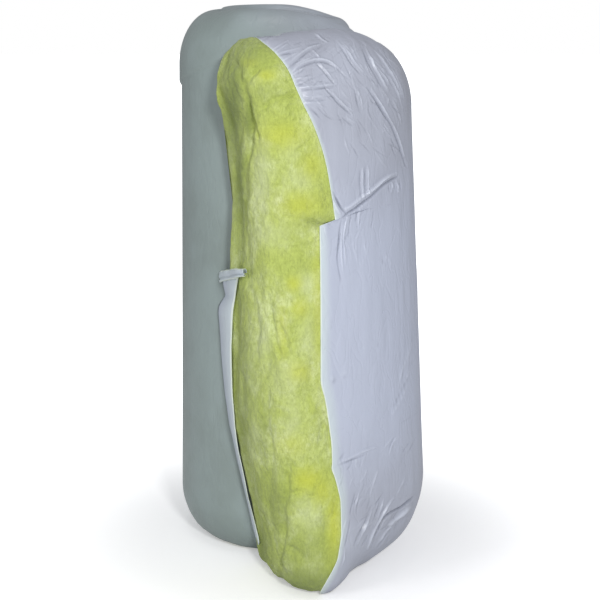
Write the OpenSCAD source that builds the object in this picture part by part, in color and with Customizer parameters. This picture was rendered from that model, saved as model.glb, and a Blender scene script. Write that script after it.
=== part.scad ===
// Water heater insulation blanket, rolled up and stood on its end.
// One glass wool batt with one vinyl facing bonded to its outer side. The last part of
// the blanket leaves the roll on its right side and stands out in front of it as a thick
// loose end, whose open edge shows the glass wool in two layers.
// Millimetres, +Z up. The loose end lies towards -Y and +X, the floor is at Z = 0.

/* [Blanket] */
// Width of the blanket, which is the height of the standing roll
blanket_w = 1219; // [1000:1:1500]
// Thickness drawn for the vinyl facing
facing_t = 2; // [1:0.5:4]

/* [Roll] */
// Radius of the roll over its facing, just above the foot
roll_r = 243; // [225:1:270]
// Radius of the roll over its facing, just below the shoulder
roll_top_r = 230; // [215:1:245]
// Radius of the hollow down the middle of the roll
bore_r = 106; // [80:1:112]
// Width of the outer turn at the top, from its outside to the line where it meets the inner turn
turn_w = 82; // [70:1:92]
// How far the top of the outer turn stands below that of the inner turn
rim_drop = 14; // [6:1:30]
// Height of the round at the top of the outer turn
shoulder_h = 115; // [80:1:200]
// Height of the round at the foot of the roll
foot_h = 110; // [50:1:140]
// Width of the round at the foot of the roll
foot_w = 72; // [40:1:75]
// Height of the crown on top of the inner turn
crown_h = 30; // [20:1:60]
// Depth of the groove between the two turns at the top
groove_d = 22; // [10:1:50]
// Depth of the groove between the two turns at the foot
foot_groove_d = 12; // [5:1:30]

/* [Loose end] */
// Radius of the loose end where it is widest, near its foot
end_r = 303; // [275:1:325]
// Radius of the loose end just below its shoulder
end_top_r = 264; // [240:1:285]
// Height at which the loose end is widest
end_widest = 300; // [220:1:400]
// Sideways distance of the loose end's centre from the centre of the roll
end_x = 12; // [0:1:35]
// Forward distance of the loose end's centre from the centre of the roll
end_y = 132; // [115:1:150]
// How far the slumped top of the loose end stands below the top of the roll
end_drop = 45; // [25:1:100]
// Width of the round at the top of the loose end
end_shoulder_w = 108; // [60:1:140]
// Height of the round at the top of the loose end
end_shoulder_h = 150; // [60:1:180]
// Width of the round at the foot of the loose end
end_foot_w = 150; // [80:1:170]
// Height of the round at the foot of the loose end
end_foot_h = 190; // [100:1:215]

/* [Nose] */
// Radius of the nose in which the loose end stands out, just above its foot
nose_r = 130; // [100:1:150]
// Radius of the nose just below its shoulder
nose_top_r = 106; // [80:1:115]
// Sideways distance of the nose's centre from the centre of the roll
nose_x = 30; // [10:1:50]
// Forward distance of the nose's centre from the centre of the roll
nose_y = 330; // [310:1:350]
// Width of the round at the foot of the nose
nose_foot_w = 45; // [25:1:70]
// Height of the round at the foot of the nose
nose_foot_h = 60; // [30:1:100]

/* [Open edge] */
// Sideways place of the open edge where it meets the roll at the floor
edge_x = -76; // [-110:1:-50]
// Forward place of that meeting point
edge_y = 225; // [200:1:240]
// Turn of the open edge away from straight forwards, in degrees
edge_turn = 14; // [8:1:32]
// Lean of the open edge towards the left at the top, in degrees
edge_lean = 2.9; // [0:0.1:5]
// Distance from the centre of the roll to the crease between the two layers
crease_r = 306; // [290:1:330]
// Width of that crease
crease_w = 7; // [4:1:14]
// Depth of that crease
crease_d = 30; // [15:1:60]

/* [Facing edge] */
// Sideways place of the facing's edge at the floor
facing_floor_x = 90; // [70:1:110]
// Sideways place where the facing's edge stands furthest back, low down
facing_low_x = 124; // [110:1:140]
// Height of that place
facing_low_z = 180; // [120:5:260]
// Sideways place of the long upright middle of the facing's edge
facing_mid_x = 78; // [60:1:100]
// Height where that upright part starts
facing_mid_z = 480; // [400:5:600]
// Distance from the top of the loose end down to where the facing laps over itself
facing_step_drop = 374; // [290:1:450]
// Width of that step
facing_step = 25; // [10:1:45]
// Sideways place where the facing's edge turns in above the step
facing_high_x = 60; // [30:1:80]
// Distance from the top of the loose end down to that place
facing_high_drop = 164; // [100:1:220]
// Sideways place of the facing's edge at the top
facing_top_x = -40; // [-60:1:20]

/* [Hidden] */
$fn = 96;
arc_steps = 8;
// clear space between the facing and the glass wool
bond = 0.3;
past = 400;
wool_in = facing_t + bond;

rim_z = blanket_w - rim_drop;
side_z = rim_z - shoulder_h;
foot_groove_w = 7;
groove_w = 5;
turn_r = roll_top_r - turn_w;
// The outer turn is rounded over from its side to the groove
shoulder_w = turn_w - groove_w - 1;
turn_mid = (bore_r + turn_r) / 2;
turn_half = (turn_r - bore_r) / 2;
bore_bevel = 14;

end_h = blanket_w - end_drop;
end_side_z = end_h - end_shoulder_h;
facing_step_z = end_h - facing_step_drop;
facing_high_z = end_h - facing_high_drop;
// The nose's top is rounded over as high as the loose end's shoulder
nose_shoulder_w = nose_top_r - 18;
nose_shoulder_h = end_shoulder_h - 6;

// The loose end joins the roll between these two turns of the compass
join_from = -34;
join_to = -12;
join_z0 = end_foot_h;
join_z1 = end_side_z - 60;
join_in = 12;
join_out = 10;
// Clear space between that join and the facing round it
join_gap = 0.4;

// How far down the rounds at the foot the roll's facing reaches, in degrees from level
facing_foot = -68;
// Where the bare glass wool below the facing meets the floor, as parts of the round
floor_part = 0.12;
under_part = 0.28;
under_z = 2.5;
// How far over the shoulder the loose end's facing reaches, in degrees from level
top_over = 78;
// How deep the facing of the loose end is let into that of the roll
lap = facing_t - bond;
crease_from = -125;
crease_to = -60;

// Middle of the whole blanket seen from above
mid_x = (end_x + end_r - roll_r) / 2;
mid_y = (roll_r - nose_y - nose_r + wool_in) / 2;

function arc(cr, cz, w, h, from, to) =
    [for (i = [0 : arc_steps])
        let (a = from + (to - from) * i / arc_steps)
        [cr + w * cos(a), cz + h * sin(a)]];

function back(list) = [for (i = [len(list) - 1 : -1 : 0]) list[i]];

// Rounds of the roll's outer turn, drawn "inset" inside its outer surface
function roll_foot(inset, from) =
    arc(roll_r - foot_w, foot_h, foot_w - inset, foot_h - inset, from, 0);
function roll_shoulder(inset) =
    arc(roll_top_r - shoulder_w, side_z, shoulder_w - inset, shoulder_h - inset, 0, 90);

// Half section of the rolled glass wool, with its two turns showing on both ends
module roll_wool_section() {
    polygon(concat(
        [[bore_r + bore_bevel, 0],
         [turn_r - foot_groove_w, 0],
         [turn_r, foot_groove_d],
         [turn_r + foot_groove_w, 0],
         [roll_r - foot_w * (1 - floor_part), 0],
         [roll_r - foot_w * (1 - under_part), under_z]],
        roll_foot(wool_in, facing_foot),
        roll_shoulder(wool_in),
        [[turn_r + groove_w, rim_z - groove_d * 0.55],
         [turn_r + 1, rim_z - groove_d],
         [turn_r, rim_z - groove_d]],
        arc(turn_mid, blanket_w - crown_h, turn_half, crown_h, 0, 180),
        [[bore_r, bore_bevel]]
    ));
}

// Half section of the facing on the roll, from the foot over the shoulder
module roll_facing_section() {
    polygon(concat(
        roll_foot(0, facing_foot),
        roll_shoulder(0),
        back(roll_shoulder(facing_t)),
        back(roll_foot(facing_t, facing_foot))
    ));
}

// The roll's side, "out" beyond its facing, carried on past both ends
module roll_side(out) {
    rotate_extrude()
        polygon([
            [0, -1],
            [roll_r + out, -1],
            [roll_r + out, foot_h],
            [roll_top_r + out, side_z],
            [roll_top_r + out, blanket_w + 1],
            [0, blanket_w + 1]
        ]);
}

// Outlines of the loose end and of its nose about their own centres, from the foot up
// over the shoulder to the angle "over", drawn "inset" inside their outer surface
function end_outline(inset, over) = concat(
    arc(end_r - end_foot_w, end_foot_h, end_foot_w - inset, end_foot_h - inset, facing_foot, 0),
    [[end_r - inset, end_widest]],
    arc(end_top_r - end_shoulder_w, end_side_z,
        end_shoulder_w - inset, end_shoulder_h - inset, 0, over));
function nose_outline(inset, over) = concat(
    arc(nose_r - nose_foot_w, nose_foot_h, nose_foot_w - inset, nose_foot_h - inset, facing_foot, 0),
    arc(nose_top_r - nose_shoulder_w, end_side_z,
        nose_shoulder_w - inset, nose_shoulder_h - inset, 0, over));

// Half sections of their glass wool
module end_section(inset) {
    polygon(concat(
        [[0, 0],
         [end_r - end_foot_w * (1 - floor_part), 0],
         [end_r - end_foot_w * (1 - under_part), under_z * 2]],
        end_outline(inset, 90),
        [[0, end_h - inset]]
    ));
}

module nose_section(inset) {
    polygon(concat(
        [[0, 0],
         [nose_r - nose_foot_w * (1 - floor_part), 0],
         [nose_r - nose_foot_w * (1 - under_part), under_z]],
        nose_outline(inset, 90),
        [[0, end_side_z + nose_shoulder_h - inset]]
    ));
}

// The round of the loose end's glass wool, still uncut
module end_round() {
    translate([end_x, -end_y, 0])
        rotate_extrude()
            end_section(wool_in);
}

// The nose of bare glass wool, which stops where the facing starts
module nose_round() {
    difference() {
        translate([nose_x, -nose_y, 0])
            rotate_extrude()
                nose_section(wool_in);
        facing_reach();
    }
}

// The facing's skin over the loose end, all the way round
module end_skin() {
    translate([end_x, -end_y, 0])
        rotate_extrude()
            polygon(concat(end_outline(0, top_over), back(end_outline(facing_t, top_over))));
}

// Everything on the left of the open edge, moved "inward" to its right
module beyond_edge(inward) {
    translate([edge_x, -edge_y, 0])
        rotate([0, -edge_lean, edge_turn])
            translate([inward - 2 * past, -2 * past, -past])
                cube([2 * past, 4 * past, blanket_w + 2 * past]);
}

// Where the facing lies on the loose end: right of its edge, hem to hem
module facing_reach() {
    translate([0, past, 0])
        rotate([90, 0, 0])
            linear_extrude(4 * past)
                polygon([
                    [facing_floor_x, 0],
                    [facing_low_x, facing_low_z],
                    [facing_mid_x, facing_mid_z],
                    [facing_mid_x, facing_step_z],
                    [facing_mid_x + facing_step, facing_step_z],
                    [facing_high_x, facing_high_z],
                    [facing_top_x, end_h],
                    [2 * past, end_h],
                    [2 * past, 0]
                ]);
}

// A slice of the compass about the centre of the roll
module slice(from, to) {
    far = 3 * past;
    translate([0, 0, -past])
        linear_extrude(blanket_w + 2 * past)
            polygon([
                [0, 0],
                [far * cos(from), far * sin(from)],
                [far * cos((from + to) / 2) * 1.2, far * sin((from + to) / 2) * 1.2],
                [far * cos(to), far * sin(to)]
            ]);
}

// An upright ring about the centre of the roll
module ring(inner, outer, low, high) {
    translate([0, 0, low])
        difference() {
            cylinder(r = outer, h = high - low);
            translate([0, 0, -1])
                cylinder(r = inner, h = high - low + 2);
        }
}

module crease_ring(low, high) {
    ring(crease_r - crease_w / 2, crease_r + crease_w / 2, low, high);
}

module loose_wool() {
    difference() {
        union() {
            end_round();
            nose_round();
        }
        roll_side(bond);
        beyond_edge(0);
        intersection() {
            crease_ring(-1, blanket_w);
            beyond_edge(crease_d);
        }
        intersection() {
            crease_ring(end_h - crease_d, blanket_w);
            slice(crease_from, crease_to);
        }
    }
}

// Where the blanket leaves the roll: a block through the roll's side, "grow" larger
module join(grow) {
    intersection() {
        difference() {
            roll_side(join_out);
            roll_side(-join_in - grow);
        }
        translate([0, 0, join_z0 - grow])
            cylinder(r = past, h = join_z1 - join_z0 + 2 * grow);
        slice(join_from - grow / 4, join_to + grow / 4);
    }
}

module glass_wool_batt() {
    color([0.80, 0.84, 0.46])
        translate([-mid_x, -mid_y, 0])
            union() {
                rotate_extrude()
                    roll_wool_section();
                loose_wool();
                join(0);
            }
}

module vinyl_facing() {
    color([0.80, 0.82, 0.88])
        translate([-mid_x, -mid_y, 0])
            union() {
                difference() {
                    intersection() {
                        end_skin();
                        facing_reach();
                    }
                    roll_side(-lap);
                }
                difference() {
                    rotate_extrude()
                        roll_facing_section();
                    join(join_gap);
                }
            }
}

glass_wool_batt();
vinyl_facing();
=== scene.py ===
"""Rolled glass wool blanket with a vinyl facing, dressed over its solids.

The blanket's outer surface is a function of two numbers: the run along its outline seen
from above, and the place in its upright section. The film is laid on that surface and
the wool just under it. Lengths are in metres. Folds, edges and soft patches of colour are
given by their places in the camera's picture, in pixels.
"""

import math

import bpy
import numpy as np
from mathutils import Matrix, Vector


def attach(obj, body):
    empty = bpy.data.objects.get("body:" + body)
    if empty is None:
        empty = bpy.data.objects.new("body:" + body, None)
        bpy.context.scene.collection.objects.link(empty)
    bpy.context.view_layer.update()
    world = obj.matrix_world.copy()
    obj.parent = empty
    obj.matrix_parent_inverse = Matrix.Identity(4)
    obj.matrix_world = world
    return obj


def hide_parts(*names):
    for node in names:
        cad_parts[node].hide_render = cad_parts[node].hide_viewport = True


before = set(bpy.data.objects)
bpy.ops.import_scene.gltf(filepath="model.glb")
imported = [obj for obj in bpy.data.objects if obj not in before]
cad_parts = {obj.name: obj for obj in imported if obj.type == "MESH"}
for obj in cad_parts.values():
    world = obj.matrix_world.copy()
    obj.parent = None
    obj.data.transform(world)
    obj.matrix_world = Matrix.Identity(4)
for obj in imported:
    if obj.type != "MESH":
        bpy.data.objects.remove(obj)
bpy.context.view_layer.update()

# Sizes and places, from the solids
ROLL_X, ROLL_Y = -0.0360, 0.10735   # middle of the roll on the floor
ROLL_R = 0.243
ROLL_TAPER = 0.013                  # how much slimmer the roll is at its shoulder
RIM_Z = 1.205                       # height of the roll's outer turn
SHOULDER_W, SHOULDER_H = 0.076, 0.115
BORE_R = 0.106
TURN_R = 0.148                      # outside of the turn round the bore
SLUMP, CORNER_SLUMP = 0.038, 0.027  # how far the roll's top sags on its right
FRONT_RISE = 0.013                  # how far it is drawn up at the front
FACING_LIFT = 0.0012                # the film's outer face over the plain surface
FILM_T = 0.0009                     # thickness of the film
FILM_TRIANGLES = 95000              # most that a sheet has before its thickness

# The roll's foot is rounded: radius height by height, of its film and of the wool that lies
# against it
FOOT_Z = [0, 0.03, 0.11]
ROLL_FOOT_R = [0.203, 0.225, 0.2465]
BACK_FOOT_R = [0.196, 0.216, 0.238]
BACK_TOP_Z, BACK_TOP_R = 1.04, 0.230

# Camera: place, tilt, and focal length in pixels of its square picture
CAMERA = (-0.0015, -3.4877, 1.40)
TILT = math.radians(13.35)
FOCAL = 1590.0
PICTURE = 600
CENTRE = PICTURE / 2
SENSOR = 36                         # millimetres
PIXEL = 0.00205                     # metres to a pixel at the front of the blanket

# Outline of the loose end seen from above, about the middle of the roll, at the height
# where it is fullest: from the open edge's inner layer round the nose to the roll.
LOOSE_PLAN = [
    (-0.090, -0.227), (-0.107, -0.240), (-0.109, -0.266), (-0.090, -0.296),
    (-0.086, -0.335), (-0.066, -0.386), (-0.030, -0.433), (0.020, -0.458),
    (0.076, -0.450), (0.130, -0.425), (0.185, -0.387), (0.235, -0.338),
    (0.275, -0.280), (0.303, -0.215), (0.315, -0.145), (0.309, -0.070),
    (0.289, 0.000), (0.255, 0.067), (0.216, 0.123), (0.174, 0.171),
]
ROLL_FROM, ROLL_TO = 50.0, 402.0    # the facing's way round the roll, degrees
UNDER_FROM = 250.0                  # from this angle on it lies under the loose end
UNDER_BY = 0.0030                   # and that much further in
STEPS = 24                          # steps between two points of a smooth line


def smooth_step(a, b, x):
    """0 before a, 1 beyond b, eased between; a may be the larger."""
    t = np.clip((np.asarray(x, float) - a) / (b - a), 0, 1)
    return t * t * (3 - 2 * t)


def in_picture(p):
    """Places of points in the camera's picture, right and down from its top left."""
    d = np.asarray(p) - CAMERA
    ahead = d[..., 1] * math.cos(TILT) - d[..., 2] * math.sin(TILT)
    up = d[..., 1] * math.sin(TILT) + d[..., 2] * math.cos(TILT)
    return np.stack([CENTRE + FOCAL * d[..., 0] / ahead, CENTRE - FOCAL * up / ahead], -1)


def round_roll(r, angle, z):
    """Points at a radius and angle about the roll's middle, at a height."""
    return np.stack([ROLL_X + r * np.cos(angle), ROLL_Y + r * np.sin(angle), z], -1)


def way_round(p):
    """Angle of points about the roll's middle."""
    return np.arctan2(p[..., 1] - ROLL_Y, p[..., 0] - ROLL_X)


def through(points, steps=STEPS):
    """A smooth open line through the points."""
    p = np.array(points, float)
    p = np.vstack([2 * p[0] - p[1], p, 2 * p[-1] - p[-2]])
    out = []
    for i in range(1, len(p) - 2):
        a, b, c, d = p[i - 1:i + 3]
        for t in np.linspace(0, 1, steps, endpoint=False):
            out.append(0.5 * (2 * b + (c - a) * t + (2 * a - 5 * b + 4 * c - d) * t * t
                              + (3 * b - a - 3 * c + d) * t ** 3))
    out.append(p[-2])
    return np.array(out)


def bend(x, xs, ys):
    """Values along a table, eased between its rows."""
    xs, ys, x = np.array(xs, float), np.array(ys, float), np.asarray(x, float)
    slope = np.diff(ys) / np.diff(xs)
    a, b = slope[:-1], slope[1:]
    both = np.where(a * b > 0, 2 * a * b / np.where(a * b > 0, a + b, 1), 0)
    m = np.concatenate([[slope[0]], both, [slope[-1]]])
    i = np.clip(np.searchsorted(xs, x) - 1, 0, len(xs) - 2)
    h = xs[i + 1] - xs[i]
    t = np.clip((x - xs[i]) / h, 0, 1)
    return ((1 + 2 * t) * (1 - t) ** 2 * ys[i] + t * (1 - t) ** 2 * h * m[i]
            + t * t * (3 - 2 * t) * ys[i + 1] + t * t * (t - 1) * h * m[i + 1])


def whole_plan():
    """The facing's line seen from above: round the loose end, then round the roll."""
    turn = np.radians(np.linspace(ROLL_FROM, ROLL_TO, 500))
    under = UNDER_BY * smooth_step(math.radians(UNDER_FROM - 12), math.radians(UNDER_FROM + 6),
                                   turn)
    rolled = np.stack([(ROLL_R - under) * np.cos(turn), (ROLL_R - under) * np.sin(turn)], -1)
    return np.vstack([through(LOOSE_PLAN), rolled])


PLAN = whole_plan()
RUN = np.concatenate([[0], np.cumsum(np.linalg.norm(np.diff(PLAN, axis=0), axis=1))])
RUN_END = RUN[-1]


def run_at(index):
    """Distance along the plan to one of the loose end's outline points."""
    return RUN[int(index * STEPS)]


RUN_CREASE = run_at(3)              # groove between the open edge's two layers
RUN_NOSE = run_at(7)                # furthest forward
RUN_EDGE = run_at(8)
RUN_SIDE = run_at(14)
RUN_BACK = run_at(14.5)
RUN_MERGE = run_at(19)              # where the loose end meets the roll
RUN_UNDER = RUN_MERGE + 0.008 + ROLL_R * math.radians(UNDER_FROM - ROLL_FROM)


def plan_normals():
    """The way out from the plan, as an angle, eased round its tight bends."""
    s = np.arange(0, RUN_END, 0.002)
    e = 0.006
    tx = np.interp(s + e, RUN, PLAN[:, 0]) - np.interp(s - e, RUN, PLAN[:, 0])
    ty = np.interp(s + e, RUN, PLAN[:, 1]) - np.interp(s - e, RUN, PLAN[:, 1])
    angle = np.unwrap(np.arctan2(-tx, ty))
    reach, spread_out = 60, 24.0    # steps of 2 mm
    weight = np.exp(-(np.arange(-reach, reach + 1) / spread_out) ** 2 / 2)
    padded = np.concatenate([np.full(reach, angle[2]), angle, np.full(reach, angle[-1])])
    return s, np.convolve(padded, weight / weight.sum(), "valid")


NORMAL_S, NORMAL_ANGLE = plan_normals()


def plan_at(s):
    """Point on the plan and its outward direction."""
    angle = np.interp(s, NORMAL_S, NORMAL_ANGLE)
    return (np.interp(s, RUN, PLAN[:, 0]), np.interp(s, RUN, PLAN[:, 1]),
            np.cos(angle), np.sin(angle))


# How the upright section changes along the plan: widths and heights of the rounds at
# foot and top, height of the crest, taper of the side, and the drop beyond the crest, at
# these distances along the run
STATIONS = [0, run_at(1.5), RUN_CREASE, run_at(5), RUN_NOSE, RUN_EDGE, run_at(10), run_at(12),
            RUN_SIDE, run_at(17), RUN_MERGE, RUN_MERGE + 0.12, RUN_END]
FOOT_W = [0.020, 0.026, 0.030, 0.036, 0.040, 0.046, 0.120, 0.140, 0.128, 0.098, 0.076,
          0.072, 0.072]
FOOT_H = [0.040, 0.045, 0.050, 0.056, 0.060, 0.075, 0.170, 0.190, 0.185, 0.150, 0.114,
          0.110, 0.110]
TOP_W = [0.050, 0.050, 0.052, 0.062, 0.085, 0.105, 0.120, 0.120, 0.100, 0.085, 0.078,
         0.076, 0.076]
TOP_H = [0.120, 0.120, 0.122, 0.125, 0.130, 0.145, 0.150, 0.150, 0.142, 0.130, 0.117,
         0.115, 0.115]
TOP_Z = [1.168, 1.170, 1.172, 1.174, 1.176, 1.180, 1.184, 1.176, 1.152, 1.140, 1.146,
         1.172, 1.172]
TAPER = [0.000, 0.002, 0.006, 0.016, 0.034, 0.038, 0.040, 0.040, 0.041, 0.030, 0.015,
         0.013, 0.013]
DROP = [0.010, 0.010, 0.010, 0.012, 0.014, 0.018, 0.024, 0.024, 0.024, 0.016, 0.005,
        0.007, 0.007]
TUCK_END = 0.1515                   # where the roll's film ends on top, from its middle

# The open edge's top is an arch: sideways place and height, about the roll's middle
ARCH_X = [-0.140, -0.137, -0.125, -0.112, -0.100, -0.083, -0.062, -0.030]
ARCH_Z = [1.085, 1.107, 1.132, 1.147, 1.159, 1.168, 1.172, 1.174]
ARCH_FROM = 0.95                    # height from which the arch draws the top in
# How far left the open edge reaches just below its arch, height by height
LEFT_Z = [0.90, 0.97, 1.033, 1.079, 1.107]
LEFT_X = [-0.122, -0.123, -0.129, -0.137, -0.138]

# How the open edge leans, height by height: right at the foot, left at the top
LEAN_Z = [0.0, 0.075, 0.13, 0.18, 0.24, 0.39, 0.62, 0.82, 0.96, 1.04, 1.08, 1.12, 1.20]
LEAN_X = [0.044, 0.046, 0.040, 0.029, 0.018, -0.005, -0.008, -0.002, -0.012, -0.026,
          -0.040, -0.053, -0.056]

# The facing's free edge in the picture: how far down, then how far right
EDGE_DOWN = [36, 42, 52, 60, 70, 86, 106, 122, 140, 160, 180, 200, 224, 225.7, 260, 320,
             380, 400, 430, 450, 464, 468, 477, 490, 503, 533, 550, 560, 568, 580, 592]
EDGE_RIGHT = [254, 262, 274, 281, 288, 295, 304, 312, 319, 325, 329, 332, 335, 319.5, 320,
              320.5, 320.5, 325, 329.5, 331.7, 332, 331.5, 334.5, 338, 340.5, 341, 339,
              337, 333.5, 327, 320]


def sag(x):
    """How far the roll's top hangs at x, measured from the roll's middle."""
    return SLUMP * smooth_step(-0.02, 0.20, x) + CORNER_SLUMP * smooth_step(0.12, 0.21, x)


def sag_at(x, z):
    """The sag at a height: none on the side, all of it at the top."""
    return sag(x) * smooth_step(0.95, 1.15, z)


def front_rise(x, y, z):
    """How far the roll's top is drawn up at the front."""
    return (FRONT_RISE * smooth_step(0.02, -0.13, y) * smooth_step(-0.17, -0.08, x)
            * smooth_step(1.10, 1.20, z))


def on_roll(s):
    """0 on the loose end, 1 on the roll."""
    return smooth_step(RUN_MERGE - 0.06, RUN_MERGE + 0.005, s)


def rim_top(s):
    """Height of the crest along the plan, before the roll's sag."""
    return bend(s, STATIONS, TOP_Z) * (1 - on_roll(s)) + RIM_Z * on_roll(s)


def shoulder_r(z, rim):
    """Radius of the roll's outside where its shoulder has the height."""
    up = np.clip((np.asarray(z, float) - (rim - SHOULDER_H)) / SHOULDER_H, 0, 1)
    return ROLL_R - ROLL_TAPER - SHOULDER_W * (1 - np.sqrt(1 - up * up))


def top_tables():
    """Along the run: how far in the crest ends, and the distance from the roll's middle at
    which the facing's way over the top ends."""
    s = np.linspace(0, RUN_END, 900)
    x, y, nx, ny = plan_at(s)
    taper, wide = bend(s, STATIONS, TAPER), bend(s, STATIONS, TOP_W)
    top = rim_top(s) - bend(s, STATIONS, DROP)
    cx, cy = x - nx * (taper + wide), y - ny * (taper + wide)
    reach = np.hypot(cx, cy)
    r = np.full_like(reach, 0.20)
    for _ in range(3):
        r = shoulder_r(top, RIM_Z - sag(cx / reach * r)) + 0.002
    r = r * (1 - on_roll(s)) + TUCK_END * on_roll(s)
    # where the loose end is thin its crest ends at the roll
    wide = wide - np.maximum(0, r + 0.003 - reach) / np.maximum(0.5, (cx * nx + cy * ny) / reach)
    return s, wide, r


TOP_S, CREST_W, TUCK_R = top_tables()


def section(s, q):
    """Way in from the plan and height, for q from 0 (floor) over 1 (foot), 2 (side)
    and 3 (crest) to 4 (over the top)."""
    wf, hf = bend(s, STATIONS, FOOT_W), bend(s, STATIONS, FOOT_H)
    wt, ht = np.interp(s, TOP_S, CREST_W), bend(s, STATIONS, TOP_H)
    top, taper = rim_top(s), bend(s, STATIONS, TAPER)
    top = top - 0.0025 * smooth_step(RUN_UNDER - 0.05, RUN_UNDER + 0.02, s)
    a = np.radians(-88 * (1 - np.clip(q, 0, 1)))
    b = np.radians(90 * np.clip(q - 2, 0, 1))
    side = np.clip(q - 1, 0, 1)
    low = top - ht
    inward = wf * (1 - np.cos(a)) + taper * side + wt * (1 - np.cos(b))
    z = np.where(q < 1, hf * (1 + np.sin(a)),
                 np.where(q < 2, hf + (low - hf) * side, low + ht * np.sin(b)))
    z = z - bend(s, STATIONS, DROP) * np.clip(q - 3, 0, 1) ** 2
    return inward, np.maximum(z, 0.0015)


def lean(s, z):
    """Sideways shift of the loose end, fading out round its nose."""
    return bend(z, LEAN_Z, LEAN_X) * (1 - smooth_step(RUN_NOSE - 0.05, RUN_EDGE + 0.16, s))


def plain_surface(s, q):
    """Point on the blanket's outer surface, without folds."""
    x, y, nx, ny = plan_at(s)
    inward, z = section(s, q)
    x, y = x - nx * inward, y - ny * inward
    tuck = np.clip(q - 3, 0, 1)
    r = np.hypot(x, y)
    inner = (r + (np.interp(s, TOP_S, TUCK_R) - r) * tuck) / r
    x = x * inner + lean(s, z) * (1 - tuck)
    y = y * inner
    open_part = 1 - smooth_step(RUN_NOSE - 0.04, RUN_EDGE + 0.10, s)
    reach = np.maximum(x, bend(z, LEFT_Z, LEFT_X))
    x = x + (reach - x) * open_part * smooth_step(0.84, 0.94, z)
    arched = ARCH_FROM + (z - ARCH_FROM) * (
        bend(x, ARCH_X, ARCH_Z) - ARCH_FROM) / (ARCH_Z[-1] - ARCH_FROM)
    z = np.where(z > ARCH_FROM, z + (np.minimum(arched, z) - z) * open_part, z)
    drawn_up = front_rise(x, y, z) * smooth_step(RUN_MERGE, RUN_UNDER, s)
    z = z + drawn_up - sag_at(x, z) * on_roll(s)
    return np.stack([x + ROLL_X, y + ROLL_Y, z], -1)


def outward(s, q):
    """Unit normal of the plain surface."""
    e, f = 0.002, 0.01
    along = (plain_surface(np.minimum(s + e, RUN_END), q)
             - plain_surface(np.maximum(s - e, 0), q))
    up = plain_surface(s, np.minimum(q + f, 4)) - plain_surface(s, np.maximum(q - f, 0))
    n = np.cross(along, up)
    return n / (np.linalg.norm(n, axis=-1, keepdims=True) + 1e-12)


def surface(s, q, out):
    """Point "out" proud of the plain surface."""
    return plain_surface(s, q) + outward(s, q) * np.asarray(out)[..., None]


# Mesh helpers

def lumps(p, size, seed):
    """Smooth random field from -1 to 1 over points, with features of about the size."""
    cells = 24
    table = np.random.default_rng(seed).random((cells, cells, cells)) * 2 - 1
    f = np.asarray(p, float) / np.asarray(size, float) + 97.3
    i = np.floor(f).astype(int)
    t = f - i
    t = t * t * (3 - 2 * t)
    value = 0
    for dx in (0, 1):
        for dy in (0, 1):
            for dz in (0, 1):
                w = ((t[..., 0] if dx else 1 - t[..., 0])
                     * (t[..., 1] if dy else 1 - t[..., 1])
                     * (t[..., 2] if dz else 1 - t[..., 2]))
                value = value + w * table[(i[..., 0] + dx) % cells, (i[..., 1] + dy) % cells,
                                          (i[..., 2] + dz) % cells]
    return value


def grid_piece(name, pts, around_u=False, around_v=False, caps=False, flip=False,
               fields=None):
    """Mesh from a grid of points, closed round either way or capped at the two u ends."""
    nu, nv = pts.shape[:2]
    index = np.arange(nu * nv).reshape(nu, nv)
    iu = np.arange(nu if around_u else nu - 1)
    iv = np.arange(nv if around_v else nv - 1)
    a = index[np.ix_(iu, iv)]
    b = index[np.ix_((iu + 1) % nu, iv)]
    c = index[np.ix_((iu + 1) % nu, (iv + 1) % nv)]
    d = index[np.ix_(iu, (iv + 1) % nv)]
    quads = np.stack([a, b, c, d] if not flip else [a, d, c, b], -1).reshape(-1, 4)
    faces = [tuple(int(k) for k in q) for q in quads]
    verts = pts.reshape(-1, 3)
    if caps:
        for ring, back in ((index[0], not flip), (index[-1], flip)):
            middle = len(verts)
            verts = np.vstack([verts, pts.reshape(-1, 3)[ring].mean(0)])
            for k in range(nv if around_v else nv - 1):
                e = (int(ring[k]), int(ring[(k + 1) % nv]), middle)
                faces.append(e[::-1] if not back else e)
    mesh = bpy.data.meshes.new(name)
    mesh.from_pydata([tuple(v) for v in verts], [], faces)
    for key, values in (fields or {}).items():
        layer = mesh.attributes.new(key, "FLOAT", "POINT")
        flat = np.zeros(len(verts))
        flat[:nu * nv] = np.asarray(values, float).reshape(-1)
        layer.data.foreach_set("value", flat)
    mesh.validate()
    for poly in mesh.polygons:
        poly.use_smooth = True
    obj = bpy.data.objects.new(name, mesh)
    bpy.context.collection.objects.link(obj)
    return obj


def film_piece(name, pts, fields, around_u=False, flip=False):
    """A sheet of film from a grid: thinned out where it is plain, then given its thickness."""
    obj = grid_piece(name, pts, around_u=around_u, flip=flip, fields=fields)
    bpy.ops.object.select_all(action="DESELECT")
    bpy.context.view_layer.objects.active = obj
    obj.select_set(True)
    have = sum(len(p.vertices) - 2 for p in obj.data.polygons)
    if have > FILM_TRIANGLES:
        less = obj.modifiers.new("thinner", "DECIMATE")
        less.ratio = FILM_TRIANGLES / have
        bpy.ops.object.modifier_apply(modifier="thinner")
    thick = obj.modifiers.new("thickness", "SOLIDIFY")
    thick.thickness, thick.offset = FILM_T, -1
    bpy.ops.object.modifier_apply(modifier="thickness")
    for poly in obj.data.polygons:
        poly.use_smooth = True
    return obj


# The film's relief

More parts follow.
